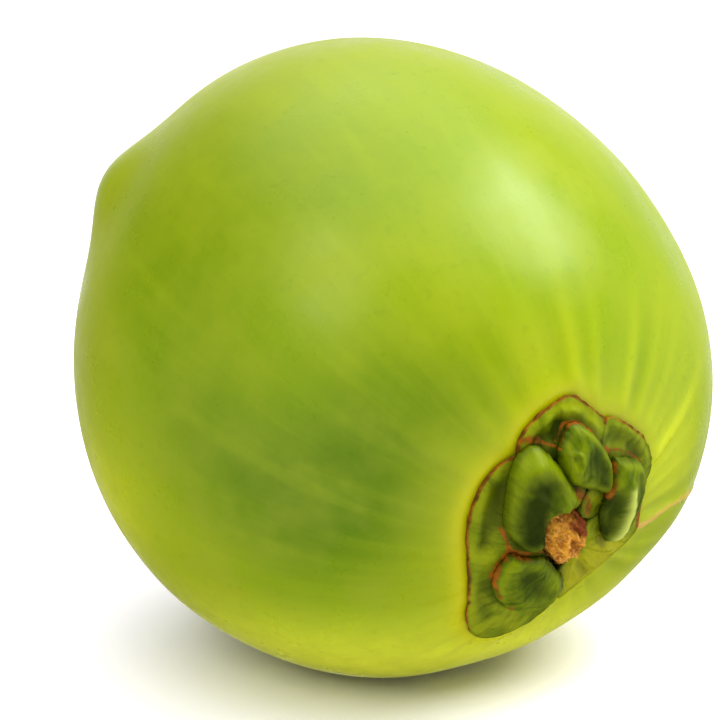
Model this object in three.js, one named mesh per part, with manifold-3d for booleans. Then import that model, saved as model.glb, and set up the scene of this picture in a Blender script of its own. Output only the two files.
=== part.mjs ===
// A whole green coconut as picked, lying on its side on a small flat spot.
// The smooth husk is one solid. At its stalk end sits the calyx, which stays on the fruit: eight
// thick leathery lobes, four against the husk and four shorter ones on top of them, round the
// fibrous scar where the stalk broke off.
// Lengths are in millimetres and angles in degrees. Places on the fruit are given by two angles
// from its centre: polar, counted from the middle of the stalk scar, and azimuth, counted round
// the fruit's axis from the side that lies uppermost.

import * as THREE from "three";
import { mergeVertices } from "three/addons/utils/BufferGeometryUtils.js";
import Module from "manifold-3d";

// Driving dimensions of the husk
const FRUIT_RADIUS = 85;
const LENGTHENING = 0.04; // share of the radius by which both ends reach past a ball
const EGG = 0.02; // share by which the stalk end reaches further than the tip
const RIDGE_HEIGHT = 0.031; // share, of the three blunt ridges along the fruit
const RIDGE_AZIMUTH = 23;
const OVAL = 0.013; // share, of the slightly oval cross-section
const OVAL_AZIMUTH = 83;
const STALK_END_FLATTENING = 0.1;
const STALK_END_SPREAD = 30;
const KNUCKLE = { height: 5, spread: 9, polar: 125.7, azimuth: 63.3 }; // a bump on one ridge
const TIP = { height: 2.2, spread: 5.5 }; // the blunt point at the far end
const FLUTE_DEPTH = 0.3; // the pleats that run out from the calyx
const FLUTE_COUNTS = [7, 11];
const FLUTE_PHASE = 40; // azimuth by which the second count starts later
const FLUTE_NEAR = 24; // polar angles between which the pleats show
const FLUTE_FULL = 34;
const FLUTE_FAR = 62;

// Driving dimensions of the calyx, which sits off the fruit's axis
const CALYX_RADIUS = 28;
const CALYX_OFFSET = 7;
const CALYX_OFFSET_TURN = 80;
const CALYX_TURN = -43.1; // azimuth of the calyx's own x direction
const CLEARANCE = 0.4; // between pieces that lie on each other
const OUTER_THICKNESS = 2.6;
const OUTER_RIM = 1.0;
const THINNING_FROM = 0.55; // share of the way to the calyx's edge from which the outer lobes thin
const INNER_RIM = 0.9;
const DOME_POWER = 0.7; // how round the inner lobes are, from 0.5 as a ball to 1 as a mound

// The lobes' outlines as they lie on the husk, unrolled round the scar's middle, counterclockwise.
// Where two at one level cross, the earlier one is whole and the later one ends beside it. An inner
// lobe bulges most over its crest, and around is the number of points round a lobe.
const OUTER_LOBES = [
  {
    name: "outer_lobe_left", crest: [-14, 7], around: 48,
    outline: [
      [5.2, 31.2], [-1, 33], [-7.6, 31], [-14.6, 25.6], [-19.4, 18.8], [-23.8, 11.4], [-27.6, 5],
      [-31.6, -1.4], [-33, -9], [-30, -15.4], [-22, -19.2], [-12.6, -18], [-7, -9], [-6.4, 0],
      [-3.8, 9.5], [0.8, 15], [3.2, 22],
    ],
  },
  {
    name: "outer_lobe_top", crest: [15, 23], around: 36,
    outline: [
      [27, 17.4], [26.8, 21], [26.1, 26.4], [24.8, 30.6], [20.8, 32.8], [14.6, 34.4],
      [9.8, 34.2], [6, 31.8], [4.6, 22], [3.8, 14], [7, 7.2], [16.5, 12.4],
    ],
  },
  {
    name: "outer_lobe_right", crest: [20, 5], around: 32,
    outline: [
      [7.2, 1.4], [16, -3.4], [24.4, -9], [28.4, -7.2], [30.6, -3], [31.6, 2], [31, 8],
      [29.8, 13], [27.6, 17.2], [17, 11.2], [7.4, 5.4],
    ],
  },
  {
    name: "outer_lobe_lower", crest: [8, -11], around: 40,
    outline: [
      [-11.6, -18.4], [-4, -19.2], [4, -20], [11, -21], [14.8, -20.4], [18.8, -15.6],
      [22.8, -11], [26, -7.4], [17.5, -2.8], [6.2, 0.4], [1.4, -4.6], [-3, -4.8], [-7, -5.4],
      [-8.6, -11],
    ],
  },
];
const INNER_LOBES = [
  {
    name: "inner_lobe_left", crest: [1, 20.5], bulge: 5.2, around: 44,
    outline: [
      [7, 31.8], [2, 30.6], [-1.8, 27.5], [-5.2, 24.4], [-8, 20.8], [-9, 15.5], [-8.6, 10.8],
      [-7, 7.8], [-5, 7.2], [-3.4, 9.6], [0, 12.6], [4.3, 12.6], [7.2, 10.4], [9, 11.8],
      [10, 17], [10.8, 24], [10, 30.2],
    ],
  },
  {
    name: "inner_lobe_top", crest: [16, 17.5], bulge: 4, around: 36,
    outline: [
      [20.8, 25.4], [19, 26.8], [16, 26], [13, 24.8], [10.6, 21.6], [9.6, 17.6], [10.4, 13.8],
      [12.4, 9.4], [14.8, 4.4], [17.4, 6], [19.8, 9.6], [21.4, 14.6], [21.8, 20],
    ],
  },
  {
    name: "inner_lobe_right", crest: [17, -2.5], bulge: 4.2, around: 40,
    outline: [
      [14, 3.4], [10, 0.4], [7.6, -4.6], [6.8, -9], [9.5, -10.6], [14.5, -9.6], [19.6, -7.6],
      [23.4, -5], [25.6, -1.6], [25.6, 2], [23.6, 6.2], [21.8, 9.6], [18.4, 7.4],
    ],
  },
  {
    name: "inner_lobe_lower", crest: [-14.5, 0.5], bulge: 4.2, around: 40,
    outline: [
      [-11.2, 12], [-14.8, 11.6], [-18.4, 9.4], [-20.6, 6], [-21.6, 1.9], [-21.2, -2.8],
      [-18.4, -7.2], [-14.2, -10.4], [-9.6, -10.8], [-6.8, -7], [-6.4, -1.2], [-6.6, 3.6],
      [-8.4, 6.2], [-10.4, 9.4],
    ],
  },
];
const LOBE_RINGS = [0.4, 0.75, 0.93, 1];
const UNDERSIDE_RINGS = [0.35, 0.7, 1];
const ROOM_ABOVE = 10; // how many times the margin the room for a piece reaches above it

// Driving dimensions of the stalk scar, a broken stub of fibres with a lower shoulder on one side
const SCAR = {
  middle: [0.6, 2.4], height: 6, slope: 1.8, around: 24,
  outline: [
    [7.4, 2], [6.4, 7.6], [4, 11.6], [0.3, 11.9], [-3.4, 8.2], [-6, 2.2], [-5.2, -3.6],
    [-2.4, -7], [2.4, -7.2], [6.2, -3.6],
  ],
};
const SCAR_RINGS = [0.3, 0.6, 0.85, 1];
const SCAR_LUMPS = { height: 0.8, acrossX: 1.1, acrossY: 0.9 }; // waves in radians a millimetre

// How the fruit lies: where its stalk end points, and how high its centre is above the surface
const HEADING = -57.4;
const DIP = 21.3;
const CENTRE_HEIGHT = 80.3;

const HUSK_AROUND = 64;
const HUSK_ALONG = 38;

const FINISHES = {
  husk: { color: "#8fae0c", roughness: 0.42, metalness: 0 },
  outerLobe: { color: "#5f7410", roughness: 0.38, metalness: 0 },
  innerLobe: { color: "#46600f", roughness: 0.38, metalness: 0 },
  scar: { color: "#c88a34", roughness: 0.85, metalness: 0 },
};

const wasm = await Module();
wasm.setup();

const radians = THREE.MathUtils.degToRad;

// 1 below the low end, 0 above the high end, smooth between them
function fade(value, low, high) {
  return 1 - THREE.MathUtils.smoothstep(value, low, high);
}

function bell(value, spread) {
  return Math.exp(-((value / spread) ** 2));
}

// Direction from the fruit's centre, with the fruit's axis along +Z
function direction(polar, azimuth) {
  const ring = Math.sin(radians(polar));
  return new THREE.Vector3(
    ring * Math.cos(radians(azimuth)),
    ring * Math.sin(radians(azimuth)),
    Math.cos(radians(polar)),
  );
}

const knuckleDirection = direction(KNUCKLE.polar, KNUCKLE.azimuth);

function polarAt(distance) {
  return THREE.MathUtils.radToDeg(distance / FRUIT_RADIUS);
}

// Distance from the fruit's centre to the husk's surface
function huskRadius(polar, azimuth) {
  const c = Math.cos(radians(polar));
  const ring = Math.sin(radians(polar)) ** 2;
  const fromKnuckle = THREE.MathUtils.radToDeg(direction(polar, azimuth).angleTo(knuckleDirection));
  const flutes =
    Math.cos(radians(FLUTE_COUNTS[0] * azimuth)) +
    Math.cos(radians(FLUTE_COUNTS[1] * azimuth + FLUTE_PHASE));
  const flutesRise = 1 - fade(polar, FLUTE_NEAR, FLUTE_FULL);
  const flutesShow = flutesRise * fade(polar, FLUTE_FULL, FLUTE_FAR);
  const share =
    1 +
    (LENGTHENING * (3 * c * c - 1)) / 2 +
    (EGG * (5 * c ** 3 - 3 * c)) / 2 +
    RIDGE_HEIGHT * ring * Math.cos(radians(3 * (azimuth - RIDGE_AZIMUTH))) +
    OVAL * ring * Math.cos(radians(2 * (azimuth - OVAL_AZIMUTH))) -
    STALK_END_FLATTENING * bell(polar, STALK_END_SPREAD);
  return (
    share * FRUIT_RADIUS +
    KNUCKLE.height * bell(fromKnuckle, KNUCKLE.spread) +
    TIP.height * bell(180 - polar, TIP.spread) +
    (FLUTE_DEPTH / 2) * flutes * flutesShow
  );
}

// A point above the husk, over a place in the plane in which the calyx's outlines are given
function onHusk([x, y], height) {
  const polar = polarAt(Math.hypot(x, y));
  const azimuth = THREE.MathUtils.radToDeg(Math.atan2(y, x)) + CALYX_TURN;
  return direction(polar, azimuth).multiplyScalar(huskRadius(polar, azimuth) + height);
}

// Thickness of the outer lobes, which the inner ones lie on: it thins towards the calyx's edge
function outerThickness([x, y]) {
  const turn = Math.atan2(y, x) - radians(CALYX_OFFSET_TURN);
  const share = Math.hypot(x, y) / (CALYX_RADIUS + CALYX_OFFSET * Math.cos(turn));
  return OUTER_RIM + (OUTER_THICKNESS - OUTER_RIM) * fade(share, THINNING_FROM, 1);
}

// A closed pad over the husk: rings of places between its middle and its outline, on its top and
// on its underside, joined round its edge. height(place, share, isTop) is counted from the husk.
function padGeometry({ outline, middle, around, topRings, underRings, height }) {
  const corners = outline.map(([x, y]) => new THREE.Vector3(x, y, 0));
  const edge = new THREE.CatmullRomCurve3(corners, true, "centripetal").getSpacedPoints(around);
  const positions = [];
  const faces = [];
  const addPoint = (x, y, share, isTop) => {
    positions.push(...onHusk([x, y], height([x, y], share, isTop)).toArray());
  };
  const addSide = (rings, isTop) => {
    const first = positions.length / 3;
    addPoint(...middle, 0, isTop);
    const [middleX, middleY] = middle;
    for (const share of rings) {
      for (const { x, y } of edge.slice(0, around)) {
        addPoint(middleX + share * (x - middleX), middleY + share * (y - middleY), share, isTop);
      }
    }
    const add = (a, b, c) => faces.push(...(isTop ? [a, b, c] : [a, c, b]));
    for (let i = 0; i < around; i += 1) {
      const next = (i + 1) % around;
      add(first, first + 1 + i, first + 1 + next);
      for (let ring = 1; ring < rings.length; ring += 1) {
        const inner = first + 1 + (ring - 1) * around;
        const outer = inner + around;
        add(inner + i, outer + i, outer + next);
        add(inner + i, outer + next, inner + next);
      }
    }
    return first + 1 + (rings.length - 1) * around;
  };
  const top = addSide(topRings, true);
  const under = addSide(underRings, false);
  for (let i = 0; i < around; i += 1) {
    const next = (i + 1) % around;
    faces.push(top + i, under + i, under + next, top + i, under + next, top + next);
  }
  const geometry = new THREE.BufferGeometry();
  geometry.setAttribute("position", new THREE.Float32BufferAttribute(positions, 3));
  geometry.setIndex(faces);
  return geometry;
}

// An outline with its points moved away from the middle by a margin
function grown(outline, [middleX, middleY], margin) {
  return outline.map(([x, y]) => {
    const growth = 1 + margin / Math.hypot(x - middleX, y - middleY);
    return [middleX + growth * (x - middleX), middleY + growth * (y - middleY)];
  });
}

// A lobe, or with a margin the room that the lobes beside it leave for it
function lobeGeometry(lobe, isInner, margin) {
  const height = (place, share, isTop) => {
    const ring = outerThickness(place);
    const under = CLEARANCE + (isInner ? ring + CLEARANCE : 0);
    const thickness = isInner ? INNER_RIM + lobe.bulge * (1 - share ** 2) ** DOME_POWER : ring;
    return isTop ? under + thickness + ROOM_ABOVE * margin : under - margin;
  };
  return padGeometry({
    outline: grown(lobe.outline, lobe.crest, margin),
    middle: lobe.crest,
    around: lobe.around,
    topRings: LOBE_RINGS,
    underRings: UNDERSIDE_RINGS,
    height,
  });
}

// The stub, or with a margin the room that the lobes leave for it
function scarGeometry(margin) {
  const height = ([x, y], share, isTop) => {
    const lumps = Math.sin(SCAR_LUMPS.acrossX * x) * Math.cos(SCAR_LUMPS.acrossY * y);
    const top = SCAR.height + SCAR_LUMPS.height * lumps - SCAR.slope * share ** 2;
    return isTop ? top + ROOM_ABOVE * margin : CLEARANCE - margin;
  };
  return padGeometry({
    outline: grown(SCAR.outline, SCAR.middle, margin),
    middle: SCAR.middle,
    around: SCAR.around,
    topRings: SCAR_RINGS,
    underRings: [1],
    height,
  });
}

function huskGeometry() {
  const geometry = new THREE.SphereGeometry(1, HUSK_AROUND, HUSK_ALONG);
  geometry.rotateX(Math.PI / 2); // its poles go from the Y axis to the Z axis
  const positions = geometry.getAttribute("position");
  const place = new THREE.Vector3();
  for (let i = 0; i < positions.count; i += 1) {
    place.fromBufferAttribute(positions, i).normalize();
    const polar = THREE.MathUtils.radToDeg(Math.acos(THREE.MathUtils.clamp(place.z, -1, 1)));
    const azimuth = THREE.MathUtils.radToDeg(Math.atan2(place.y, place.x));
    place.multiplyScalar(huskRadius(polar, azimuth));
    positions.setXYZ(i, place.x, place.y, place.z);
  }
  return geometry;
}

function solidFrom(geometry) {
  const bare = geometry.clone();
  bare.deleteAttribute("normal");
  bare.deleteAttribute("uv");
  const merged = mergeVertices(bare, 1e-4);
  return new wasm.Manifold(
    new wasm.Mesh({
      numProp: 3,
      vertProperties: new Float32Array(merged.getAttribute("position").array),
      triVerts: new Uint32Array(merged.index.array),
    }),
  );
}

function geometryFrom(solid) {
  const mesh = solid.getMesh();
  const geometry = new THREE.BufferGeometry();
  geometry.setAttribute("position", new THREE.Float32BufferAttribute(mesh.vertProperties, 3));
  geometry.setIndex(new THREE.Uint32BufferAttribute(mesh.triVerts, 1));
  geometry.computeVertexNormals();
  return geometry;
}

// Turns the upright fruit to the way it lies, with its centre at its height above the surface
function layDown(geometry) {
  geometry.rotateZ(Math.PI);
  geometry.rotateY(radians(90 + DIP));
  geometry.rotateZ(radians(HEADING));
  geometry.translate(0, 0, CENTRE_HEIGHT);
  return geometry;
}

function piece(name, geometry, finish) {
  const mesh = new THREE.Mesh(geometry, new THREE.MeshStandardMaterial(finish));
  mesh.name = name;
  return mesh;
}

// The husk's lowest part is cut off level, which leaves the flat spot that the fruit rests on
function husk() {
  const below = new THREE.BoxGeometry(4 * FRUIT_RADIUS, 4 * FRUIT_RADIUS, FRUIT_RADIUS);
  below.translate(0, 0, -FRUIT_RADIUS / 2);
  const cut = solidFrom(layDown(huskGeometry())).subtract(solidFrom(below));
  return piece("husk", geometryFrom(cut), FINISHES.husk);
}

const coconut = new THREE.Group();
coconut.add(husk());

const roomForScar = solidFrom(layDown(scarGeometry(CLEARANCE)));
for (const [level, isInner, finish] of [
  [OUTER_LOBES, false, FINISHES.outerLobe],
  [INNER_LOBES, true, FINISHES.innerLobe],
]) {
  let taken = roomForScar;
  for (const lobe of level) {
    const solid = solidFrom(layDown(lobeGeometry(lobe, isInner, 0))).subtract(taken);
    coconut.add(piece(lobe.name, geometryFrom(solid), finish));
    taken = taken.add(solidFrom(layDown(lobeGeometry(lobe, isInner, CLEARANCE))));
  }
}
coconut.add(piece("stalk_scar", layDown(scarGeometry(0)), FINISHES.scar));

// The origin is on the surface that the fruit rests on, below the middle of its width and length
const middle = new THREE.Box3().setFromObject(coconut).getCenter(new THREE.Vector3());
coconut.position.set(-middle.x, -middle.y, 0);

export default coconut;
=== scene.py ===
"""A whole green coconut lying on its side: the looks of its husk, calyx lobes and stalk scar.

Sizes are in millimetres and angles in degrees until a piece is made, when they become metres.
Places on the fruit are given by two angles from its centre: polar, counted from the middle of the
stalk scar, and azimuth, counted round the fruit's axis from the side that lies uppermost.
"""

import math

import bpy
import numpy as np
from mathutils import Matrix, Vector

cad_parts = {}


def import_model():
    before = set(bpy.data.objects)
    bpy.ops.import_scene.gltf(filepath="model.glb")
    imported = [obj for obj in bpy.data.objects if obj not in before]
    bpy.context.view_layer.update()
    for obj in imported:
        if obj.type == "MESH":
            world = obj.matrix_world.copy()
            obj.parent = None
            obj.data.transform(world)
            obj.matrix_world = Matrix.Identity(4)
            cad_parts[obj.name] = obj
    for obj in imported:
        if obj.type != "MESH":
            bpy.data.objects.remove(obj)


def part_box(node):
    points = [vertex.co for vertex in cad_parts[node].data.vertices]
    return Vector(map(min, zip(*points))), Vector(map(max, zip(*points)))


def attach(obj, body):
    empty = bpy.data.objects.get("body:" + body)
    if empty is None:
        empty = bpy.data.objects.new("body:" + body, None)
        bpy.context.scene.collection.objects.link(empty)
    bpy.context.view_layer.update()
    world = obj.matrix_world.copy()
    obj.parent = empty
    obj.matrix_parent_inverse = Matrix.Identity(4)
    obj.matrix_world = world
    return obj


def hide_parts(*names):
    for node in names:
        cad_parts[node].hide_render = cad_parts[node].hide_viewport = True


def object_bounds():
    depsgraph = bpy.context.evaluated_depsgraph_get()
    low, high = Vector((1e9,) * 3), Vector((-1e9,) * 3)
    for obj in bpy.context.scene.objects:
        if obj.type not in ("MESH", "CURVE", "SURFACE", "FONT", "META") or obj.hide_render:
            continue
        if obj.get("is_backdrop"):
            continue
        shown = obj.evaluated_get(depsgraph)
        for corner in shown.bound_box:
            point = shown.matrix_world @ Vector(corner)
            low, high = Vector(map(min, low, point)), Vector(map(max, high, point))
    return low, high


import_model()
cad_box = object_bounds()

MM = 0.001

# How finely the pieces are divided
HUSK_AROUND = 360
HUSK_RINGS = 262
LOBE_AROUND = 200
LOBE_RINGS = np.concatenate([np.linspace(0.04, 0.84, 26), np.linspace(0.86, 0.985, 12), [0.994, 1]])
UNDER_RINGS = np.array([0.3, 0.6, 0.85, 0.95, 0.99])
SCAR_AROUND = 160
SCAR_RINGS = np.linspace(0.03, 1, 34)
SCAR_UNDER_RINGS = np.array([0.5, 0.98])
EDGE_POINTS = 90

# The husk's shape, as in the CAD part
FRUIT_RADIUS = 85
LENGTHENING = 0.04
EGG = 0.02
RIDGE_HEIGHT = 0.031
RIDGE_AZIMUTH = 23
OVAL = 0.013
OVAL_AZIMUTH = 83
STALK_END_FLATTENING = 0.1
STALK_END_SPREAD = 30
KNUCKLE = {"height": 5, "spread": 9, "polar": 125.7, "azimuth": 63.3}
TIP = {"height": 2.2, "spread": 5.5}
FLUTE_DEPTH = 0.3
FLUTE_COUNTS = (7, 11)
FLUTE_PHASE = 40
FLUTE_NEAR = 24
FLUTE_FULL = 34
FLUTE_FAR = 62

# The calyx, as in the CAD part
CALYX_RADIUS = 28
CALYX_OFFSET = 7
CALYX_OFFSET_TURN = 80
CALYX_TURN = -43.1
CLEARANCE = 0.4
OUTER_THICKNESS = 2.6
OUTER_RIM = 1.0
THINNING_FROM = 0.55
INNER_RIM = 0.9
DOME_POWER = 0.7

# How the fruit lies, as in the CAD part: where its stalk end points
HEADING = -57.4
DIP = 21.3

# The lobes' outlines as they lie on the husk, unrolled round the scar's middle, counterclockwise
LOBES = {
    "outer_lobe_left": {
        "crest": (-14, 7), "inner": False, "bulge": 0,
        "outline": [
            (5.2, 31.2), (-1, 33), (-7.6, 31), (-14.6, 25.6), (-19.4, 18.8), (-23.8, 11.4),
            (-27.6, 5), (-31.6, -1.4), (-33, -9), (-30, -15.4), (-22, -19.2), (-12.6, -18),
            (-7, -9), (-6.4, 0), (-3.8, 9.5), (0.8, 15), (3.2, 22),
        ],
    },
    "outer_lobe_top": {
        "crest": (15, 23), "inner": False, "bulge": 0,
        "outline": [
            (27, 17.4), (26.8, 21), (26.1, 26.4), (24.8, 30.6), (20.8, 32.8), (14.6, 34.4),
            (9.8, 34.2), (6, 31.8), (4.6, 22), (3.8, 14), (7, 7.2), (16.5, 12.4),
        ],
    },
    "outer_lobe_right": {
        "crest": (20, 5), "inner": False, "bulge": 0,
        "outline": [
            (7.2, 1.4), (16, -3.4), (24.4, -9), (28.4, -7.2), (30.6, -3), (31.6, 2), (31, 8),
            (29.8, 13), (27.6, 17.2), (17, 11.2), (7.4, 5.4),
        ],
    },
    "outer_lobe_lower": {
        "crest": (8, -11), "inner": False, "bulge": 0,
        "outline": [
            (-11.6, -18.4), (-4, -19.2), (4, -20), (11, -21), (14.8, -20.4), (18.8, -15.6),
            (22.8, -11), (26, -7.4), (17.5, -2.8), (6.2, 0.4), (1.4, -4.6), (-3, -4.8),
            (-7, -5.4), (-8.6, -11),
        ],
    },
    "inner_lobe_left": {
        "crest": (1, 20.5), "inner": True, "bulge": 5.2,
        "outline": [
            (7, 31.8), (2, 30.6), (-1.8, 27.5), (-5.2, 24.4), (-8, 20.8), (-9, 15.5),
            (-8.6, 10.8), (-7, 7.8), (-5, 7.2), (-3.4, 9.6), (0, 12.6), (4.3, 12.6), (7.2, 10.4),
            (9, 11.8), (10, 17), (10.8, 24), (10, 30.2),
        ],
    },
    "inner_lobe_top": {
        "crest": (16, 17.5), "inner": True, "bulge": 4,
        "outline": [
            (20.8, 25.4), (19, 26.8), (16, 26), (13, 24.8), (10.6, 21.6), (9.6, 17.6),
            (10.4, 13.8), (12.4, 9.4), (14.8, 4.4), (17.4, 6), (19.8, 9.6), (21.4, 14.6),
            (21.8, 20),
        ],
    },
    "inner_lobe_right": {
        "crest": (17, -2.5), "inner": True, "bulge": 4.2,
        "outline": [
            (14, 3.4), (10, 0.4), (7.6, -4.6), (6.8, -9), (9.5, -10.6), (14.5, -9.6),
            (19.6, -7.6), (23.4, -5), (25.6, -1.6), (25.6, 2), (23.6, 6.2), (21.8, 9.6),
            (18.4, 7.4),
        ],
    },
    "inner_lobe_lower": {
        "crest": (-14.5, 0.5), "inner": True, "bulge": 4.2,
        "outline": [
            (-11.2, 12), (-14.8, 11.6), (-18.4, 9.4), (-20.6, 6), (-21.6, 1.9), (-21.2, -2.8),
            (-18.4, -7.2), (-14.2, -10.4), (-9.6, -10.8), (-6.8, -7), (-6.4, -1.2), (-6.6, 3.6),
            (-8.4, 6.2), (-10.4, 9.4),
        ],
    },
}
SCAR = {
    "crest": (0.6, 2.4), "slope": 1.8,
    "outline": [
        (7.4, 2), (6.4, 7.6), (4, 11.6), (0.3, 11.9), (-3.4, 8.2), (-6, 2.2), (-5.2, -3.6),
        (-2.4, -7), (2.4, -7.2), (6.2, -3.6),
    ],
}

# Folds and hollows of the lobes, as (height, width, places along them). Above 0 they rise.
FOLDS = {
    "inner_lobe_left": [
        (1.1, 1.8, [(-8.4, 18), (-7, 22.4), (-2, 27), (4, 29.4), (8.6, 26.6), (9.2, 20), (8, 13)]),
        (-1.7, 4.4, [(-4.5, 13), (-1, 20), (3, 22)]),
        (0.7, 1.1, [(-8.6, 12), (-7, 8.8), (-5, 8.4)]),
        (0.5, 1.1, [(-3.5, 12), (1, 14.5), (5.5, 14.5)]),
        (0.5, 0.9, [(-0.5, 27), (2.4, 22), (3, 17)]),
    ],
    "inner_lobe_top": [
        (0.9, 1.2, [(11.4, 16), (12.2, 22), (14.6, 24.6)]),
        (0.6, 1.1, [(20.4, 24.2), (20.8, 19), (19, 11.5)]),
        (-1.2, 2.4, [(17, 17), (16, 10.5)]),
        (0.6, 0.6, [(12, 22.4), (13.3, 23.4), (14.9, 22.8), (15.3, 21.2), (14.4, 19.6), (12.8, 18.9)]),
        (0.5, 0.8, [(11.8, 13), (13.6, 9), (15, 6.2)]),
    ],
    "inner_lobe_right": [
        (0.7, 1.1, [(8.6, -7.9), (11.4, -5.7), (14.7, -2.8), (17.8, 0.7), (19.8, 2.6)]),
        (-1.3, 1.9, [(8.6, -4.4), (11.6, -1), (14.8, 2.6)]),
        (-0.8, 1.2, [(14, -6.6), (19, -3.6), (22.6, 0)]),
        (0.6, 1.4, [(22.4, 6), (24, 1.4)]),
    ],
    "inner_lobe_lower": [
        (0.7, 1.2, [(-20.2, 4), (-18, 8), (-14, 10), (-11.4, 9.4)]),
        (0.8, 1.2, [(-20.4, -1.6), (-17.6, -5.6), (-14, -7.4), (-10, -6.6), (-7.4, -2.4)]),
        (-1.1, 2.8, [(-12.2, 5), (-12.2, 0)]),
        (0.4, 1.0, [(-17, 5), (-16.4, 0), (-14, -3.6)]),
    ],
    "outer_lobe_left": [
        (0.7, 1.5, [(-30.2, -3), (-24.4, 7), (-18, 17.6), (-10, 27), (-2, 31)]),
        (-1.0, 2.2, [(-14, 19), (-8, 25), (-3.4, 29)]),
        (-0.5, 1.6, [(-27, -5), (-25, 3), (-22, 8)]),
        (0.5, 1.2, [(-27, -10), (-21, -13), (-15, -14.6)]),
        (0.4, 0.9, [(-24, -9), (-20, -11), (-14, -12)]),
        (-0.6, 1.4, [(-11, -12.6), (-7.6, -9)]),
    ],
    "outer_lobe_top": [
        (-1.2, 2.4, [(12, 29.6), (15, 27.8), (17.5, 28.4)]),
        (0.7, 1.0, [(8, 31.4), (14, 32), (20.4, 30.4), (24, 25)]),
        (0.4, 1.0, [(22.8, 27), (24, 19)]),
    ],
    "outer_lobe_right": [
        (0.7, 1.0, [(27.6, 14.6), (29.6, 9), (30, 3), (28.8, -3), (25, -7)]),
        (-0.6, 1.6, [(24.6, 13), (27.2, 6), (26.8, 0)]),
    ],
    "outer_lobe_lower": [
        (0.8, 1.0, [(-7, -16.4), (-4, -12), (-3, -7)]),
        (0.8, 1.0, [(6.4, -18), (5.2, -12), (4, -5)]),
        (0.6, 0.9, [(0.4, -18), (0.6, -12), (0.6, -6)]),
        (-0.5, 1.2, [(-2, -17), (-1.6, -9)]),
        (0.7, 1.2, [(11, -18), (18, -12.6), (24, -7.6)]),
    ],
}

# Dried brown lines and cracks over the calyx, as (width, places along them)
DRY_LINES = [
    (0.6, [(-20, 4.6), (-18.8, 9), (-15, 11.9), (-11.2, 12.8), (-9.8, 16), (-9, 20)]),
    (0.7, [(-11, 12), (-9.4, 8.2), (-6.6, 5.2), (-4.2, 3.6)]),
    (1.1, [(8.4, 33.4), (10.4, 31.6), (11.6, 30)]),
    (0.5, [(10.8, 31), (12.2, 28), (13.4, 25.2)]),
    (0.45, [(14.6, 25.8), (18.8, 27.2), (21.2, 25), (22.1, 20), (21.8, 14.6)]),
    (0.5, [(22.4, 11), (24.4, 8), (26.2, 3), (26.6, -2.4)]),
    (0.9, [(14.2, 3.6), (17.4, 6.2), (20.4, 9.4), (22, 12.4)]),
    (1.7, [(9, 3), (10, 8), (10, 13)]),
    (0.9, [(22.4, -10.6), (18.8, -14.6), (14.9, -19.6)]),
    (0.4, [(-20.2, -0.8), (-19.4, 0.4)]),
    (0.4, [(-18.6, -5.6), (-16.6, -7.4), (-14, -8.4)]),
]
# The smooth fold of the right inner lobe, glossier, with a pale highlight painted along it
GLOSSY_HIGHLIGHT_FOLD = [(8.6, -7.9), (11.4, -5.7), (14.7, -2.8), (17.4, 0.2), (18.6, 1.4)]
# The calyx's rim is dried and brown, except between these turns round the scar
MARGIN_BARE_FROM = -170
MARGIN_BARE_TO = 0

# The thin corky line at the right of the calyx, in the plane of the outlines
CORK_LINE = [(16, -21.5), (18.2, -25), (21.4, -27.4), (24.8, -29.6), (30, -37), (35.4, -48)]
# The brown blossom scar at the tip
TIP_SCAR = {"radius": 3.6, "wrinkles": 13}
# Patches where the husk is a deeper green, as (polar, azimuth, spread, strength)
GREEN_PATCHES = [
    (36, 38, 11, 0.45), (43, 56, 12, 0.45), (34, 78, 15, 0.5), (43, 89, 15, 0.55),
    (55, 86, 16, 0.36), (66, 84, 16, 0.34), (80, 66, 18, 0.38), (75, 30, 20, 0.35),
    (97, 50, 22, 0.35),
]
# Patches where it is paler, given the same way. The last one, on the lower rim, is painted light
# bounced from the floor
PALE_AND_RIM_LIGHT_PATCHES = [(24, -66, 10, 0.38), (45, -52, 16, 0.15), (92, 116, 16, 0.7)]
# Fine relief of the husk: the pleats round the calyx and the heights of the rest
PLEAT_COUNTS = (19, 29, 41)
PLEAT_DEPTH = 0.10
UNEVENNESS = 0.22
CALYX_RIM_HEIGHT = 0.45
CORK_HEIGHT = 0.3
TIP_WRINKLE_HEIGHT = 0.15
TIP_SCAR_DEPTH = 0.5

# How far a lobe sinks under one that lies on it, and how its edge and skin are roughened
OVERLAP_SINK = 0.9
OUTER_OVERLAP_SINK = 0.35
LOBE_NICK_SIZE = 0.1
LOBE_LUMPS = 0.2
INNER_LOBE_LUMPS = 0.3
LOBE_WRINKLES = 0.07
LOBE_EDGE_ROUNDING = 0.3
NICK_POWER = 10

# The stub's nicked edge, as (size, seed), its torn shards, as (tilt along x, tilt along y, height of
# the shard's plane over the crest), and its lowest height
SCAR_NICKS = (0.4, 30)
SHARDS = [(0.4, 0.1, 6.0), (-0.45, 0.25, 5.6), (0.1, -0.3, 5.6), (0.6, 0.5, 6.0), (-0.15, 0.6, 6.2)]
SCAR_LOWEST = 1.2


def fade(value, low, high):
    """1 below low, 0 above high, smooth between them."""
    x = np.clip((value - low) / (high - low), 0, 1)
    return 1 - x * x * (3 - 2 * x)


def bell(value, spread):
    return np.exp(-((value / spread) ** 2))


def direction(polar, azimuth):
    """Unit vectors from the fruit's centre, with its axis along +Z."""
    polar, azimuth = np.broadcast_arrays(np.radians(polar), np.radians(azimuth))
    ring = np.sin(polar)
    return np.stack([ring * np.cos(azimuth), ring * np.sin(azimuth), np.cos(polar)], -1)


def angle_between(directions, other):
    return np.degrees(np.arccos(np.clip(directions @ other, -1, 1)))


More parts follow.
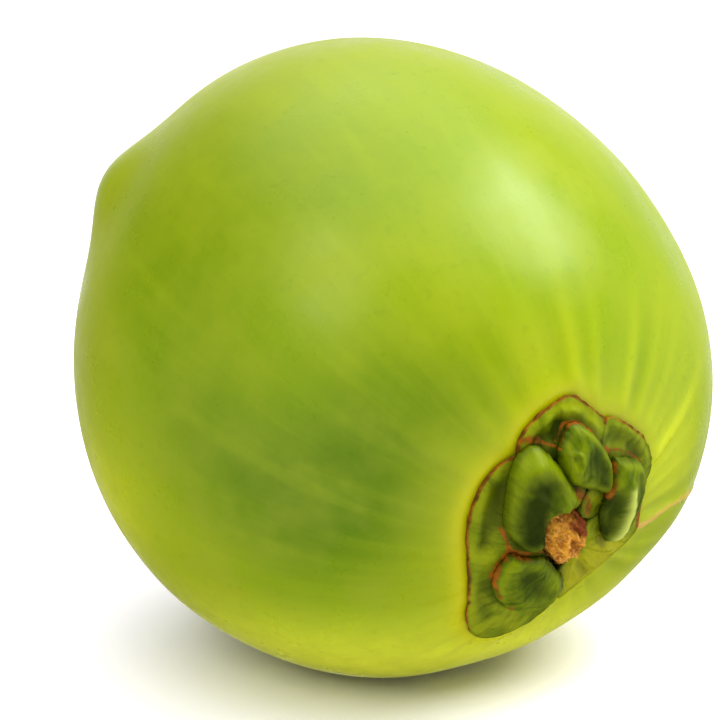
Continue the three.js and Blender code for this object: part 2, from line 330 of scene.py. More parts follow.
def waves(points, wavelength, count, seed):
    """Smooth uneven waves through space, about -1 to 1, from plane waves in seeded directions."""
    draw = np.random.default_rng(seed)
    total = np.zeros(points.shape[:-1])
    for _ in range(count):
        heading = draw.normal(size=3)
        heading *= 2 * math.pi / (wavelength * draw.uniform(0.7, 1.4) * np.linalg.norm(heading))
        total += np.cos(points @ heading + draw.uniform(0, 2 * math.pi))
    return total / math.sqrt(count)


def husk_radius(polar, azimuth):
    """Distance from the fruit's centre to the husk's plain surface."""
    c = np.cos(np.radians(polar))
    ring = np.sin(np.radians(polar)) ** 2
    toward_knuckle = direction(KNUCKLE["polar"], KNUCKLE["azimuth"])
    from_knuckle = angle_between(direction(polar, azimuth), toward_knuckle)
    flutes = np.cos(np.radians(FLUTE_COUNTS[0] * azimuth))
    flutes = flutes + np.cos(np.radians(FLUTE_COUNTS[1] * azimuth + FLUTE_PHASE))
    flutes_rise = 1 - fade(polar, FLUTE_NEAR, FLUTE_FULL)
    flutes_show = flutes_rise * fade(polar, FLUTE_FULL, FLUTE_FAR)
    share = (
        1
        + LENGTHENING * (3 * c * c - 1) / 2
        + EGG * (5 * c**3 - 3 * c) / 2
        + RIDGE_HEIGHT * ring * np.cos(np.radians(3 * (azimuth - RIDGE_AZIMUTH)))
        + OVAL * ring * np.cos(np.radians(2 * (azimuth - OVAL_AZIMUTH)))
        - STALK_END_FLATTENING * bell(polar, STALK_END_SPREAD)
    )
    return (
        share * FRUIT_RADIUS
        + KNUCKLE["height"] * bell(from_knuckle, KNUCKLE["spread"])
        + TIP["height"] * bell(180 - polar, TIP["spread"])
        + FLUTE_DEPTH / 2 * flutes * flutes_show
    )


def unrolled(polar, azimuth):
    """Places in the plane of the calyx's outlines, unrolled round the scar's middle."""
    distance = np.radians(polar) * FRUIT_RADIUS
    turn = np.radians(azimuth - CALYX_TURN)
    return distance * np.cos(turn), distance * np.sin(turn)


def over_husk(x, y, height):
    """Points above the husk, over places in the plane of the calyx's outlines."""
    polar = np.degrees(np.hypot(x, y) / FRUIT_RADIUS)
    azimuth = np.degrees(np.arctan2(y, x)) + CALYX_TURN
    return direction(polar, azimuth) * (husk_radius(polar, azimuth) + height)[..., None]


def lay_down(points):
    """Turns points of the upright fruit to the way it lies, round its centre."""
    tilt, heading = math.radians(90 + DIP), math.radians(HEADING)
    x, y, z = -points[..., 0], -points[..., 1], points[..., 2]
    x, z = x * math.cos(tilt) + z * math.sin(tilt), z * math.cos(tilt) - x * math.sin(tilt)
    x, y = x * math.cos(heading) - y * math.sin(heading), x * math.sin(heading) + y * math.cos(heading)
    return np.stack([x, y, z], -1)


def closed_curve(corners, steps):
    """Evenly spaced points on a smooth closed curve through the corners."""
    corners = np.array(corners, float)
    runs = []
    for i in range(len(corners)):
        a, b, c, d = (corners[(i + k) % len(corners)] for k in (-1, 0, 1, 2))
        ab, bc, cd = (math.sqrt(np.linalg.norm(q - p)) for p, q in ((a, b), (b, c), (c, d)))
        out_of_b = bc * ((b - a) / ab - (c - a) / (ab + bc) + (c - b) / bc)
        into_c = bc * ((c - b) / bc - (d - b) / (bc + cd) + (d - c) / cd)
        t = np.linspace(0, 1, 40, endpoint=False)[:, None]
        runs.append(
            (2 * t**3 - 3 * t**2 + 1) * b
            + (t**3 - 2 * t**2 + t) * out_of_b
            + (3 * t**2 - 2 * t**3) * c
            + (t**3 - t**2) * into_c
        )
    curve = np.concatenate(runs + [runs[0][:1]])
    along = np.concatenate([[0], np.cumsum(np.linalg.norm(np.diff(curve, axis=0), axis=1))])
    even = np.linspace(0, along[-1], steps, endpoint=False)
    return np.stack([np.interp(even, along, curve[:, k]) for k in (0, 1)], -1)


def distance_to_path(x, y, path):
    """Distance from places to an open line through the path's points."""
    best = np.full(np.shape(x), np.inf)
    for (ax, ay), (bx, by) in zip(path, path[1:]):
        dx, dy = bx - ax, by - ay
        t = np.clip(((x - ax) * dx + (y - ay) * dy) / (dx * dx + dy * dy), 0, 1)
        best = np.minimum(best, np.hypot(x - ax - t * dx, y - ay - t * dy))
    return best


def depth_inside(x, y, edge):
    """How far places lie inside a closed line of points, below 0 outside it."""
    inside = np.zeros(np.shape(x), bool)
    for (ax, ay), (bx, by) in zip(edge, np.roll(edge, -1, axis=0)):
        if ay != by:
            crossing = ax + (y - ay) / (by - ay) * (bx - ax)
            inside ^= ((ay > y) != (by > y)) & (x < crossing)
    away = distance_to_path(x, y, np.concatenate([edge, edge[:1]]))
    return np.where(inside, away, -away)


def calyx_edge(azimuth):
    """Distance from the scar's middle to the calyx's outer edge."""
    turns = np.radians(azimuth - CALYX_TURN)
    reach = np.zeros(np.shape(azimuth))
    for lobe in LOBES.values():
        if lobe["inner"]:
            continue
        edge = closed_curve(lobe["outline"], 240)
        for ex, ey in edge:
            off = (turns - math.atan2(ey, ex) + math.pi) % (2 * math.pi) - math.pi
            near = np.abs(off) < math.radians(2)
            reach = np.where(near, np.maximum(reach, math.hypot(ex, ey)), reach)
    return reach


def make_piece(name, points, faces, material, slot, values):
    """A smooth mesh piece from points in metres, riding on the part, with values kept on its points."""
    mesh = bpy.data.meshes.new(name)
    mesh.from_pydata(points.tolist(), [], faces)
    mesh.polygons.foreach_set("use_smooth", [True] * len(mesh.polygons))
    for key, value in values.items():
        is_vector = value.ndim == 2
        layer = mesh.attributes.new(key, "FLOAT_VECTOR" if is_vector else "FLOAT", "POINT")
        layer.data.foreach_set("vector" if is_vector else "value", value.astype(np.float32).ravel())
    mesh.materials.append(material)
    piece = bpy.data.objects.new(name, mesh)
    bpy.context.scene.collection.objects.link(piece)
    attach(piece, "root")
    return piece


def node(tree, kind, inputs=None, **settings):
    """A shader node with its settings, its inputs given as numbers or as other nodes' sockets."""
    made = tree.nodes.new(kind)
    for key, value in settings.items():
        setattr(made, key, value)
    for key, value in (inputs or {}).items():
        if isinstance(value, bpy.types.NodeSocket):
            tree.links.new(value, made.inputs[key])
        else:
            made.inputs[key].default_value = value
    return made


def mix(tree, factor, a, b):
    """The colour a where the factor is 0 and b where it is 1."""
    made = node(tree, "ShaderNodeMix", data_type="RGBA", blend_type="MIX")
    for index, value in ((0, factor), (6, a), (7, b)):
        if isinstance(value, bpy.types.NodeSocket):
            tree.links.new(value, made.inputs[index])
        else:
            made.inputs[index].default_value = value if index == 0 else (*value, 1)
    return made.outputs[2]


def ramp(tree, value, low, high, to_low=0.0, to_high=1.0):
    """The value's range from low to high, spread smoothly from to_low to to_high."""
    made = node(
        tree, "ShaderNodeMapRange",
        {"Value": value, "From Min": low, "From Max": high, "To Min": to_low, "To Max": to_high},
        interpolation_type="SMOOTHSTEP",
    )
    return made.outputs[0]


def maths(tree, operation, a, b):
    made = node(tree, "ShaderNodeMath", {0: a, 1: b}, operation=operation)
    return made.outputs[0]


def noise(tree, vector, scale, detail, roughness=0.55):
    made = node(
        tree, "ShaderNodeTexNoise",
        {"Vector": vector, "Scale": scale, "Detail": detail, "Roughness": roughness, "Distortion": 0.0},
    )
    return made.outputs[0]


def kept(tree, name, vector=False):
    """A value that was kept on the mesh's points."""
    made = node(tree, "ShaderNodeAttribute", attribute_name=name)
    return made.outputs["Vector" if vector else "Fac"]


def new_material(name):
    material = bpy.data.materials.new(name)
    material.use_nodes = True
    tree = material.node_tree
    tree.nodes.clear()
    shader = node(tree, "ShaderNodeBsdfPrincipled")
    output = node(tree, "ShaderNodeOutputMaterial")
    tree.links.new(shader.outputs[0], output.inputs[0])
    return material, tree, shader


def set_surface(tree, shader, colour, roughness, height, bump_distance, bump_strength):
    tree.links.new(colour, shader.inputs["Base Color"])
    tree.links.new(roughness, shader.inputs["Roughness"])
    bump = node(
        tree, "ShaderNodeBump",
        {"Height": height, "Distance": bump_distance, "Strength": bump_strength},
    )
    tree.links.new(bump.outputs[0], shader.inputs["Normal"])


# The lobes' colours
OUTER_DEEP, OUTER_LIGHT = (0.10, 0.14, 0), (0.19, 0.225, 0)
INNER_DEEP, INNER_LIGHT = (0.036, 0.066, 0), (0.10, 0.142, 0)
# A paler green for streaks along the fibres and for painted light on the folds
FOLD_LIGHT_AND_PALE_STREAK_GREEN = (0.15, 0.195, 0)
BELOW_SCAR_YELLOW = (0.27, 0.27, 0.001)
# The pale green of a painted highlight
PAINTED_HIGHLIGHT_GREEN = (0.38, 0.44, 0.08)
# A near-black green for painted shade and for dark streaks along the fibres
SHADE_AND_DARK_STREAK_GREEN = (0.012, 0.022, 0)
RED_BROWN = (0.23, 0.066, 0.003)
DARK_BROWN = (0.07, 0.022, 0.001)


def husk_material():
    """Smooth waxy green skin: mottled, streaked along the fruit, yellow round the calyx. Painted shade
    lies under the lobes and in the pleats' troughs, painted light on the pleats' crests, and painted
    bounce light brightens the lower side and the lower rim.
    """
    material, tree, shader = new_material("waxy_green_skin")
    place = node(tree, "ShaderNodeTexCoord").outputs["Object"]
    along = kept(tree, "meridian", vector=True)
    broad = noise(tree, place, 14, 2)
    patches = noise(tree, place, 55, 4, 0.6)
    streaks = noise(tree, along, 2.2, 4, 0.6)
    specks = noise(tree, place, 420, 3, 0.6)

    colour = mix(tree, ramp(tree, broad, 0.35, 0.65), (0.165, 0.25, 0), (0.21, 0.275, 0))
    colour = mix(tree, kept(tree, "ripe"), colour, (0.235, 0.265, 0))
    # Deeper green patches, and painted shade in the troughs of the pleats at the calyx's right
    colour = mix(tree, kept(tree, "green"), colour, (0.075, 0.145, 0))
    # Paler patches, with painted bounce light on the lower rim and painted light on the crests of the
    # pleats at the calyx's right
    colour = mix(tree, kept(tree, "pale"), colour, (0.52, 0.56, 0.006))
    # A paler lower side: partly the fruit's own pale ground side, partly painted light bounced up from
    # the floor
    colour = mix(tree, kept(tree, "pale_underside_and_bounce_light"), colour, (0.70, 0.74, 0.04))
    colour = mix(tree, ramp(tree, patches, 0.35, 0.75, 0, 0.35), colour, (0.23, 0.275, 0))
    colour = mix(tree, ramp(tree, streaks, 0.42, 0.72, 0, 0.15), colour, (0.24, 0.32, 0.001))
    colour = mix(tree, ramp(tree, specks, 0.55, 0.75, 0, 0.2), colour, (0.09, 0.155, 0))
    colour = mix(tree, kept(tree, "halo"), colour, (0.38, 0.38, 0))
    # Painted shade: the husk is darkened almost to black where the lobes cover it
    colour = mix(tree, kept(tree, "painted_shade_under_lobes"), colour, (0.06, 0.045, 0.004))
    cork = maths(tree, "MULTIPLY", kept(tree, "cork"), ramp(tree, specks, 0.3, 0.55, 0.6, 1))
    colour = mix(tree, cork, colour, (0.44, 0.27, 0.05))
    brown = mix(tree, ramp(tree, specks, 0.4, 0.6), (0.10, 0.055, 0.012), (0.30, 0.19, 0.05))
    colour = mix(tree, kept(tree, "tip_scar"), colour, brown)

    roughness = ramp(tree, patches, 0.3, 0.7, 0.25, 0.43)
    streak_height = maths(tree, "MULTIPLY", streaks, 0.5)
    height = maths(tree, "ADD", streak_height, maths(tree, "MULTIPLY", specks, 0.25))
    set_surface(tree, shader, colour, roughness, height, 0.0003, 0.3)
    shader.inputs["Specular IOR Level"].default_value = 0.3
    shader.inputs["Specular Tint"].default_value = (0.95, 1.0, 0.65, 1)
    shader.inputs["Sheen Weight"].default_value = 0.15
    shader.inputs["Sheen Roughness"].default_value = 0.3
    shader.inputs["Sheen Tint"].default_value = (1.0, 1.0, 0.25, 1)
    return material


def lobe_material(name, deep, light):
    """Leathery green lobe: painted shade in its sunken folds, along its edges and beside the lobes that
    lie on it, painted light on the crests of its folds, dried brown at its margin.
    """
    material, tree, shader = new_material(name)
    place = node(tree, "ShaderNodeTexCoord").outputs["Object"]
    blotches = noise(tree, place, 150, 4, 0.6)
    fibres = noise(tree, kept(tree, "fibres", vector=True), 1.1, 4, 0.6)
    grain = noise(tree, place, 900, 3, 0.6)
    uneven = noise(tree, place, 260, 3, 0.6)
    ragged = maths(tree, "ADD", kept(tree, "margin"), ramp(tree, uneven, 0.3, 0.7, -0.3, 0.3))

    colour = mix(tree, ramp(tree, blotches, 0.38, 0.62), deep, light)
    colour = mix(tree, ramp(tree, fibres, 0.45, 0.7, 0, 0.4), colour, FOLD_LIGHT_AND_PALE_STREAK_GREEN)
    # Painted light on the crests of the folds and just inside the inner lobes' edges
    colour = mix(tree, maths(tree, "MULTIPLY", kept(tree, "painted_fold_light"), 0.6), colour, FOLD_LIGHT_AND_PALE_STREAK_GREEN)
    # Yellower on the outer lobes below the scar
    colour = mix(tree, kept(tree, "yellow_below_scar"), colour, BELOW_SCAR_YELLOW)
    # Painted shade in the sunken folds, along the lobes' edges and on the outer lobes beside the inner
    # ones
    colour = mix(tree, maths(tree, "MULTIPLY", kept(tree, "painted_shade_and_dark_patch"), 0.95), colour, SHADE_AND_DARK_STREAK_GREEN)
    colour = mix(tree, ramp(tree, fibres, 0.5, 0.3, 0, 0.35), colour, SHADE_AND_DARK_STREAK_GREEN)
    # A painted highlight along the smooth fold
    colour = mix(tree, maths(tree, "MULTIPLY", kept(tree, "gloss_and_painted_highlight"), 0.9), colour, PAINTED_HIGHLIGHT_GREEN)
    brown = mix(tree, ramp(tree, uneven, 0.35, 0.65), DARK_BROWN, RED_BROWN)
    dry = maths(tree, "MULTIPLY", kept(tree, "dry"), ramp(tree, uneven, 0.35, 0.6, 0.45, 1.1))
    dry = maths(tree, "MAXIMUM", ramp(tree, dry, 0.2, 0.9), ramp(tree, ragged, 0.15, 0.9, 1, 0))
    colour = mix(tree, dry, colour, brown)

    height = maths(tree, "ADD", fibres, maths(tree, "MULTIPLY", grain, 0.4))
    matt = ramp(tree, dry, 0, 1, 0.42, 0.65)
    roughness = maths(tree, "SUBTRACT", matt, maths(tree, "MULTIPLY", kept(tree, "gloss_and_painted_highlight"), 0.2))
    set_surface(tree, shader, colour, roughness, height, 0.0004, 0.45)
    shader.inputs["Specular IOR Level"].default_value = 0.16
    shader.inputs["Specular Tint"].default_value = (0.95, 1.0, 0.35, 1)
    return material


def scar_material():
    """Torn stalk fibres, orange-tan on top and dark red-brown at the right, with the same dark
    red-brown as painted shade in the pits and at the low side.
    """
    material, tree, shader = new_material("torn_fibres")
    place = node(tree, "ShaderNodeTexCoord").outputs["Object"]
    lumps = noise(tree, place, 330, 4, 0.65)
    grain = noise(tree, place, 1300, 3, 0.6)
    colour = mix(tree, ramp(tree, lumps, 0.35, 0.65), (0.28, 0.095, 0.002), (0.62, 0.29, 0.015))
    colour = mix(tree, ramp(tree, grain, 0.5, 0.72, 0, 0.6), colour, (0.75, 0.44, 0.12))
    # Dark red-brown: painted shade in the pits and round the foot, and a darker patch at the right
    colour = mix(tree, kept(tree, "painted_shade_and_dark_patch"), colour, (0.19, 0.04, 0.003))
    height = maths(tree, "ADD", lumps, maths(tree, "MULTIPLY", grain, 0.5))
    set_surface(tree, shader, colour, ramp(tree, grain, 0.3, 0.7, 0.55, 0.8), height, 0.001, 0.8)
    shader.inputs["Specular IOR Level"].default_value = 0.2
    return material


def patches_at(ways, patches):
    """How strongly soft patches show in the directions ways from the fruit's centre."""
    total = sum(
        strength * bell(angle_between(ways, direction(polar, azimuth)), spread)
        for polar, azimuth, spread, strength in patches
    )
    return np.clip(total, 0, 1)


def husk_points():
    """The husk's grid of rings from the stalk end to the tip: points and the values kept on them."""
    share = np.linspace(0, 1, HUSK_RINGS)
    # The rings lie closer together towards both ends
    polar = (180 * (share + 0.16 * np.sin(2 * math.pi * (share - 0.5)) / math.pi))[1:-1, None]
    azimuth = np.linspace(0, 360, HUSK_AROUND, endpoint=False)[None, :]
    polar, azimuth = np.broadcast_arrays(polar, azimuth)
    ways = direction(polar, azimuth)
    x, y = unrolled(polar, azimuth)
    out = np.hypot(x, y) - calyx_edge(azimuth)
    outside = np.maximum(out, 0)
    from_tip = np.radians(180 - polar) * FRUIT_RADIUS

    pleats = sum(np.cos(np.radians(n * azimuth + 57 * n)) for n in PLEAT_COUNTS)
    pleats_show = fade(out, 2, 28) * (1 - fade(out, -1, 4))
    uneven = (1 + waves(ways * FRUIT_RADIUS, 45, 9, 4)) / 2 * (1 - fade(out, 0, 10))
    torn_line = 0.5 * waves(ways * FRUIT_RADIUS, 5, 9, 6)
    cork = fade(distance_to_path(x, y, CORK_LINE) + torn_line, 0.4, 1.5)
    wrinkled = bell(from_tip - 6, 5) * np.cos(np.radians(TIP_SCAR["wrinkles"] * azimuth))
    tip_scar = fade(from_tip + 0.8 * wrinkled, TIP_SCAR["radius"], TIP_SCAR["radius"] + 1.6)
    relief = PLEAT_DEPTH * pleats * pleats_show - UNEVENNESS * uneven
    relief += CALYX_RIM_HEIGHT * bell(out - 3, 3) + CORK_HEIGHT * cork
    relief += TIP_WRINKLE_HEIGHT * wrinkled - TIP_SCAR_DEPTH * tip_scar

    # The yellow halo is strongest at the calyx's left. At its right, pale and green stripes follow the
    # pleats: painted light on their crests and painted shade in their troughs
    toward_left = 0.5 + 0.5 * np.cos(np.radians(azimuth - CALYX_TURN - 150))
    halo = (0.25 + 0.65 * toward_left) * bell(outside, 3.5) + 0.25 * toward_left * bell(outside, 12)
    painted_pleat_light_and_shade = pleats / 2 * fade(out, 6, 45) * (1 - fade(out, 0, 6)) * (1 - toward_left)
    around = np.radians(azimuth)
    kept_values = {
        "halo": np.clip(halo, 0, 1),
        "cork": cork,
        "meridian": np.stack([8 * np.cos(around), 8 * np.sin(around), polar / 60], -1),
        # Deeper green patches, and painted shade in the pleats' troughs
        "green": patches_at(ways, GREEN_PATCHES) + 0.28 * np.clip(-painted_pleat_light_and_shade, 0, 1),
        "ripe": 0.6 * (1 - fade(polar, 75, 130)),
        # Painted shade under the lobes' edges
        "painted_shade_under_lobes": fade(out, -3.5, -1),
        "tip_scar": tip_scar,
        # Paler patches, painted bounce light on the lower rim, and painted light on the pleats' crests
        "pale": patches_at(ways, PALE_AND_RIM_LIGHT_PATCHES) + 0.22 * np.clip(painted_pleat_light_and_shade, 0, 1),
        # Paler towards the floor: partly its own pale ground side, partly painted bounce light
        "pale_underside_and_bounce_light": fade(lay_down(ways)[..., 2], -0.92, -0.47) * (0.35 + 0.65 * fade(polar, 60, 110)),
    }
    return ways * (husk_radius(polar, azimuth) + relief)[..., None], kept_values


def husk():
    """The husk's skin, set into the place of the CAD husk. Gives the fruit's centre as it lies."""
    grid, values = husk_points()
    rows, columns = grid.shape[:2]
    ends = direction(np.array([0, 180]), np.array([0, 0]))
    ends = ends * husk_radius(np.array([0.0, 180.0]), np.array([0.0, 0.0]))[:, None]
    points = lay_down(np.concatenate([grid.reshape(-1, 3), ends]))
    low, high = (Vector(corner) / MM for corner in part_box("husk"))
    shift = [(low[k] + high[k]) / 2 - (points[:, k].min() + points[:, k].max()) / 2 for k in (0, 1)]
    shift.append(high.z - points[:, 2].max())
    points = points + shift
    points[:, 2] = np.maximum(points[:, 2], 0)
    start = np.arange(rows - 1)[:, None] * columns + np.arange(columns)[None, :]
    beside = np.arange(rows - 1)[:, None] * columns + (np.arange(columns)[None, :] + 1) % columns
    quads = np.stack([start, start + columns, beside + columns, beside], -1).reshape(-1, 4).tolist()
    stalk_end, tip = rows * columns, rows * columns + 1
    last = (rows - 1) * columns
    quads += [[stalk_end, i, (i + 1) % columns] for i in range(columns)]
    quads += [[tip, last + (i + 1) % columns, last + i] for i in range(columns)]
    kept_values = {}
    for key, value in values.items():
        value = value.reshape(rows * columns, *value.shape[2:])
        kept_values[key] = np.concatenate([value, value[:1], value[-1:]])
    piece = make_piece("husk_skin", points * MM, quads, husk_material(), "husk", kept_values)
    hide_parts("husk")
    return np.array(shift)


def outer_thickness(x, y):
    """The outer lobes' thickness, which thins towards the calyx's rim."""
    turn = np.arctan2(y, x) - math.radians(CALYX_OFFSET_TURN)
    share = np.hypot(x, y) / (CALYX_RADIUS + CALYX_OFFSET * np.cos(turn))
    return OUTER_RIM + (OUTER_THICKNESS - OUTER_RIM) * fade(share, THINNING_FROM, 1)


def edge_nicks(count, size, seed):
    """Small uneven moves for the points round an edge, drawn from the seed."""
    draw = np.random.default_rng(seed).normal(scale=size, size=(count, 2))
    return (np.roll(draw, 1, axis=0) + draw + np.roll(draw, -1, axis=0)) / math.sqrt(3)


def pad(
    name, outline, nick, crest, height, around, rings, under_rings, centre, material, slot, kept_of,
):
    """A closed pad over the husk, from rings of points round its crest, with (size, seed) of its nicks.

    height(x, y, share, is_top) is counted from the husk, and share is 0 at the crest, 1 at the edge.
    """
    edge = closed_curve(outline, around)
    nicks = edge_nicks(around, *nick)
    middle = np.array(crest, float)
    sheets, kept_values, faces, edges = [], [], [], []
    count = 0
    for shares, is_top in ((rings, True), (under_rings, False)):
        share = np.concatenate([[0], np.repeat(shares, around)])
        out = np.concatenate([edge[:1], np.tile(edge, (len(shares), 1))]) - middle
        torn = np.concatenate([nicks[:1], np.tile(nicks, (len(shares), 1))])
        x, y = (middle + share[:, None] * out + (share**NICK_POWER)[:, None] * torn).T
        sheets.append(over_husk(x, y, height(x, y, share, is_top)))
        kept_values.append(kept_of(x, y, share, is_top))
        turn = 1 if is_top else -1
        for i in range(around):
            j = (i + 1) % around
            faces.append([count, count + 1 + i, count + 1 + j][::turn])
            for ring in range(1, len(shares)):
                a = count + 1 + (ring - 1) * around
                b = a + around
                faces.append([a + i, b + i, b + j, a + j][::turn])
        edges.append(count + 1 + (len(shares) - 1) * around)
        count += 1 + len(shares) * around
    for i in range(around):
        j = (i + 1) % around
        faces.append([edges[0] + i, edges[1] + i, edges[1] + j, edges[0] + j])
    points = (lay_down(np.concatenate(sheets)) + centre) * MM
    values = {key: np.concatenate([k[key] for k in kept_values]) for key in kept_values[0]}
    return make_piece(name, points, faces, material, slot, values)


def along_fibres(x, y):
    """Places drawn out along the fibres, which run out from the scar, for fine streaks."""
    turn = np.arctan2(y, x)
    return np.stack([14 * np.cos(turn), 14 * np.sin(turn), 0.12 * np.hypot(x, y)], -1)


def lobe(name, seed, earlier, centre, material, slot):
    """One leathery lobe. It sinks a little where an earlier one lies over it."""
    shape = LOBES[name]
    crest = np.array(shape["crest"], float)
    edge = closed_curve(shape["outline"], EDGE_POINTS)
    neighbours = [closed_curve(LOBES[other]["outline"], EDGE_POINTS) for other in earlier]
    on_top = [
        closed_curve(other["outline"], EDGE_POINTS)
        for other in LOBES.values() if other["inner"] and not shape["inner"]
    ]

    def folds(x, y, sign):
        return sum(
            abs(height) * bell(distance_to_path(x, y, path), width)
            for height, width, path in FOLDS[name] if height * sign > 0
        )

    def height(x, y, share, is_top):
        ring = outer_thickness(x, y)
        under = CLEARANCE + (ring + CLEARANCE if shape["inner"] else 0)
        if not is_top:
            return under + 0 * x
        place = np.stack([x, y, np.zeros_like(x)], -1)
        inland = 1 - share**6
        dome = shape["bulge"] * np.clip(1 - share**2, 0, 1) ** DOME_POWER
        body = INNER_RIM + dome if shape["inner"] else ring
        form = (folds(x, y, 1) - folds(x, y, -1)) * inland
        lump_size = INNER_LOBE_LUMPS if shape["inner"] else LOBE_LUMPS
        lumps = waves(place, 8, 7, seed) * lump_size * inland
        wrinkles = waves(place, 2.4, 9, seed + 50) * LOBE_WRINKLES * inland
        fibres = waves(along_fibres(x, y), 1.5, 9, seed + 80) * LOBE_WRINKLES * inland
        sink = OVERLAP_SINK if shape["inner"] else OUTER_OVERLAP_SINK
        tucked = sum(1 - fade(depth_inside(x, y, other), -0.4, 0.8) for other in neighbours)
        at_edge = np.clip((share - 0.98) / 0.02, 0, 1)
        rounding = LOBE_EDGE_ROUNDING * (1 - np.sqrt(np.clip(1 - at_edge**2, 0, 1)))
        return under + body + form + lumps + wrinkles + fibres - sink * tucked - rounding

    def kept_of(x, y, share, is_top):
        depth = np.maximum(depth_inside(x, y, edge), 0) * is_top
        turn = np.degrees(np.arctan2(y, x))
        at_rim = calyx_edge(turn + CALYX_TURN) - np.hypot(x, y) < 2.5
        bare = (turn > MARGIN_BARE_FROM) & (turn < MARGIN_BARE_TO)
        dried = at_rim & ~bare & (not shape["inner"])
        dry = sum(bell(distance_to_path(x, y, path), width) for width, path in DRY_LINES)
        # Painted shade on the outer lobes beside the inner lobes that lie on them
        beside = sum(bell(np.minimum(depth_inside(x, y, other), 0), 1.8) for other in on_top)
        # Painted shade in the crease along a lobe's edge, except at the dried rim
        crease = fade(depth, 0, 1.2) * ~dried
        # Painted light on a band just inside the inner lobes' edges
        painted_edge_light = 0.5 * bell(depth - 1.5, 0.8) * shape["inner"] * is_top
        return {
            "margin": np.where(dried, np.minimum(depth, 9), 9),
            "dry": np.clip(dry, 0, 1),
            # Painted light on the folds' crests and inside the inner lobes' edges
            "painted_fold_light": np.clip(folds(x, y, 1) + painted_edge_light, 0, 1),
            "fibres": along_fibres(x, y),
            "yellow_below_scar": fade(y, -9, -3) * fade(np.abs(x - 1), 6, 14) * (not shape["inner"]),
            # Where the fold is glossier and a highlight is painted along it
            "gloss_and_painted_highlight": bell(distance_to_path(x, y, GLOSSY_HIGHLIGHT_FOLD), 0.9) * shape["inner"],
            # Painted shade: sunken folds, beside the inner lobes and along the edges
            "painted_shade_and_dark_patch": np.clip(0.7 * folds(x, y, -1) + 0.55 * beside + 0.5 * crease, 0, 1),
        }

    piece = pad(
        name + "_leathery", shape["outline"], (LOBE_NICK_SIZE, seed), crest, height, LOBE_AROUND,
        LOBE_RINGS, UNDER_RINGS, centre, material, slot, kept_of,
    )
    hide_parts(name)
    return piece


def scar(centre):
    """The stub of torn fibres where the stalk broke off."""
    crest = np.array(SCAR["crest"], float)

    def torn_top(x, y):
        planes = [h - ax * (x - crest[0]) - ay * (y - crest[1]) for ax, ay, h in SHARDS]
        return np.minimum.reduce(planes)

    def height(x, y, share, is_top):
        if not is_top:
            return CLEARANCE + 0 * x
        place = np.stack([x, y, np.zeros_like(x)], -1)
        stretched = place * (1.0, 0.35, 1)
        lumps = 0.75 * waves(stretched, 3, 9, 31) + 0.3 * waves(place, 1.1, 11, 33)
        return np.maximum(torn_top(x, y) + lumps, SCAR_LOWEST) - SCAR["slope"] * share**6

    def kept_of(x, y, share, is_top):
        place = np.stack([x, y, np.zeros_like(x)], -1)
        # Painted shade in pits among the fibres
        pits = np.clip(-0.6 * waves(place, 1.9, 9, 32) - 0.45, 0, 1)
        right_side = (1 - fade(x + 0.15 * y, 2.4, 4.2)) * fade(y, 3, 8) * (1 - fade(y, -5, -2))
        # Painted shade round the stub's foot, where it meets the lobes
        foot = 0.6 * (1 - fade(share, 0.85, 1))
        return {"painted_shade_and_dark_patch": np.clip(pits + right_side + foot, 0, 1)}

    piece = pad(
        "stalk_scar_fibres", SCAR["outline"], SCAR_NICKS, crest, height, SCAR_AROUND, SCAR_RINGS,
        SCAR_UNDER_RINGS, centre, scar_material(), "stalk_scar", kept_of,
    )
    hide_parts("stalk_scar")


# The photograph's camera: its distance from the fruit's centre, its height angle, and where the
# centre is seen, in pixels of the 720 by 720 frame
CAMERA_DISTANCE = 6.3 * FRUIT_RADIUS
CAMERA_ELEVATION = 12
LENS = 100
SENSOR = 36
FRAME_PIXELS = 720
CENTRE_SEEN_AT = (390.8, 358.2)


def camera(centre):
    elevation = math.radians(CAMERA_ELEVATION)
    across = Vector((1, 0, 0))
    upward = Vector((0, math.sin(elevation), math.cos(elevation)))
    toward = Vector((0, -math.cos(elevation), math.sin(elevation)))
    middle = Vector(centre) * MM
    place = middle + toward * CAMERA_DISTANCE * MM
    per_pixel = CAMERA_DISTANCE * SENSOR / LENS / FRAME_PIXELS * MM
    aim = middle + across * (FRAME_PIXELS / 2 - CENTRE_SEEN_AT[0]) * per_pixel
    aim -= upward * (FRAME_PIXELS / 2 - CENTRE_SEEN_AT[1]) * per_pixel
    data = bpy.data.cameras.new("camera")
    data.lens = LENS
    data.sensor_width = SENSOR
    seen = bpy.data.objects.new("camera", data)
    seen.location = place
    seen.rotation_euler = (aim - place).to_track_quat("-Z", "Y").to_euler()
    bpy.context.scene.collection.objects.link(seen)
    bpy.context.scene.camera = seen


def softbox(name, aim, toward, distance, size, power):
    """A square light at a distance in millimetres from what it lights, in the direction toward."""
    data = bpy.data.lights.new(name, "AREA")
    data.shape = "RECTANGLE"
    data.size, data.size_y = size[0] * MM, size[1] * MM
    data.energy = power
    light = bpy.data.objects.new(name, data)
    heading = Vector(toward).normalized()
    light.location = Vector(aim) * MM + heading * distance * MM
    light.rotation_euler = (-heading).to_track_quat("-Z", "Y").to_euler()
    bpy.context.scene.collection.objects.link(light)


def lights(centre):
    softbox("window", centre, (0.67, -0.12, 0.73), 800, (500, 440), 7.0)
    softbox("front", centre, (-0.43, -0.70, 0.57), 900, (260, 400), 2.1)


# The studio's soft light, as (direction, strength) of wide patches of it
STUDIO_PATCHES = [
    ((0, 0, 1), 3.1),
    ((-0.77, 0, 0.64), 0.15),
    ((0, -0.77, 0.64), 0.6),
    ((0.985, 0, 0.17), 0.55),
    ((0, 0.985, 0.17), 0.9),
    ((-0.7, -0.7, 0.12), 0.6),
]
PATCH_FROM = 0.6
PATCH_FULL = 0.98
DIM_STRENGTH = 0.02


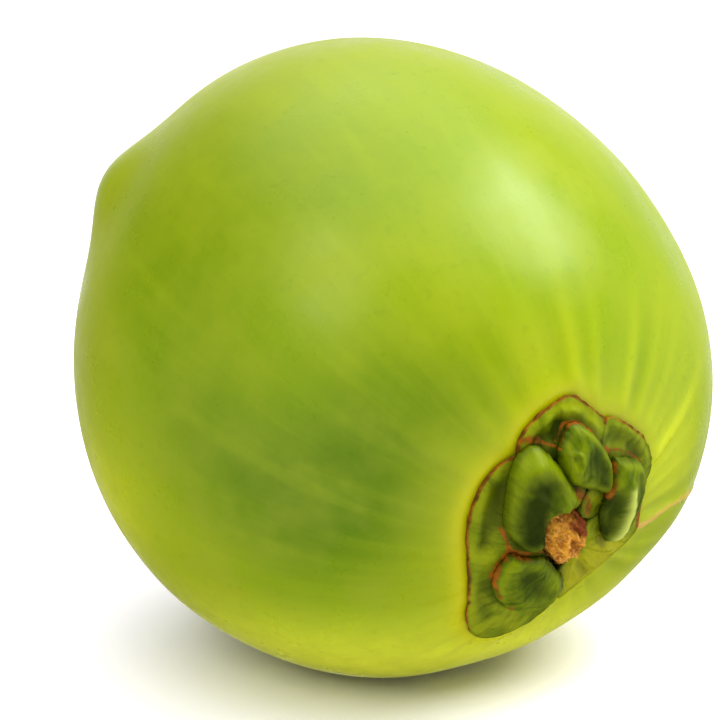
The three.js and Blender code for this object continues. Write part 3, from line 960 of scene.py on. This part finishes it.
def world():
    """A dim studio with wide soft patches of light, brightest straight above."""
    made = bpy.data.worlds.new("studio")
    bpy.context.scene.world = made
    made.use_nodes = True
    tree = made.node_tree
    tree.nodes.clear()
    way = node(tree, "ShaderNodeTexCoord").outputs["Generated"]
    lit = DIM_STRENGTH
    for toward, strength in STUDIO_PATCHES:
        toward = tuple(Vector(toward).normalized())
        along = node(tree, "ShaderNodeVectorMath", {0: way, 1: toward}, operation="DOT_PRODUCT")
        patch = ramp(tree, along.outputs["Value"], PATCH_FROM, PATCH_FULL, 0, strength)
        lit = maths(tree, "ADD", patch, lit)
    background = node(tree, "ShaderNodeBackground", {"Color": (1, 1, 1, 1), "Strength": lit})
    output = node(tree, "ShaderNodeOutputWorld")
    tree.links.new(background.outputs[0], output.inputs[0])


FLOOR_SIDES = 96
FLOOR_RADIUS = 14.0


def floor():
    """A plain pale floor, a wide disc with its radius in metres."""
    turns = np.linspace(0, 2 * math.pi, FLOOR_SIDES, endpoint=False)
    points = [(FLOOR_RADIUS * math.cos(t), FLOOR_RADIUS * math.sin(t), 0) for t in turns]
    mesh = bpy.data.meshes.new("floor")
    mesh.from_pydata(points, [], [list(range(FLOOR_SIDES))])
    material, _, shader = new_material("pale_floor")
    shader.inputs["Base Color"].default_value = (0.93, 0.90, 0.95, 1)
    shader.inputs["Roughness"].default_value = 0.9
    shader.inputs["Specular IOR Level"].default_value = 0.1
    mesh.materials.append(material)
    made = bpy.data.objects.new("floor", mesh)
    made.visible_glossy = False
    bpy.context.scene.collection.objects.link(made)
    made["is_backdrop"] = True


FIRST_LOBE_SEED = 11

centre = husk()
outer = lobe_material("outer_lobe_leather", OUTER_DEEP, OUTER_LIGHT)
inner = lobe_material("inner_lobe_leather", INNER_DEEP, INNER_LIGHT)
for index, name in enumerate(LOBES):
    is_inner = LOBES[name]["inner"]
    earlier = [other for other in list(LOBES)[:index] if LOBES[other]["inner"] == is_inner]
    material, slot = (inner, "inner_lobe") if is_inner else (outer, "outer_lobe")
    lobe(name, FIRST_LOBE_SEED + index, earlier, centre, material, slot)
scar(centre)
camera(centre)
lights(centre)
world()
floor()
bpy.context.scene.view_settings.view_transform = "Standard"

dressed_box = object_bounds()
boxes = {"cad": cad_box, "dressed": dressed_box}
{key: [list(corner) for corner in box] for key, box in boxes.items()}
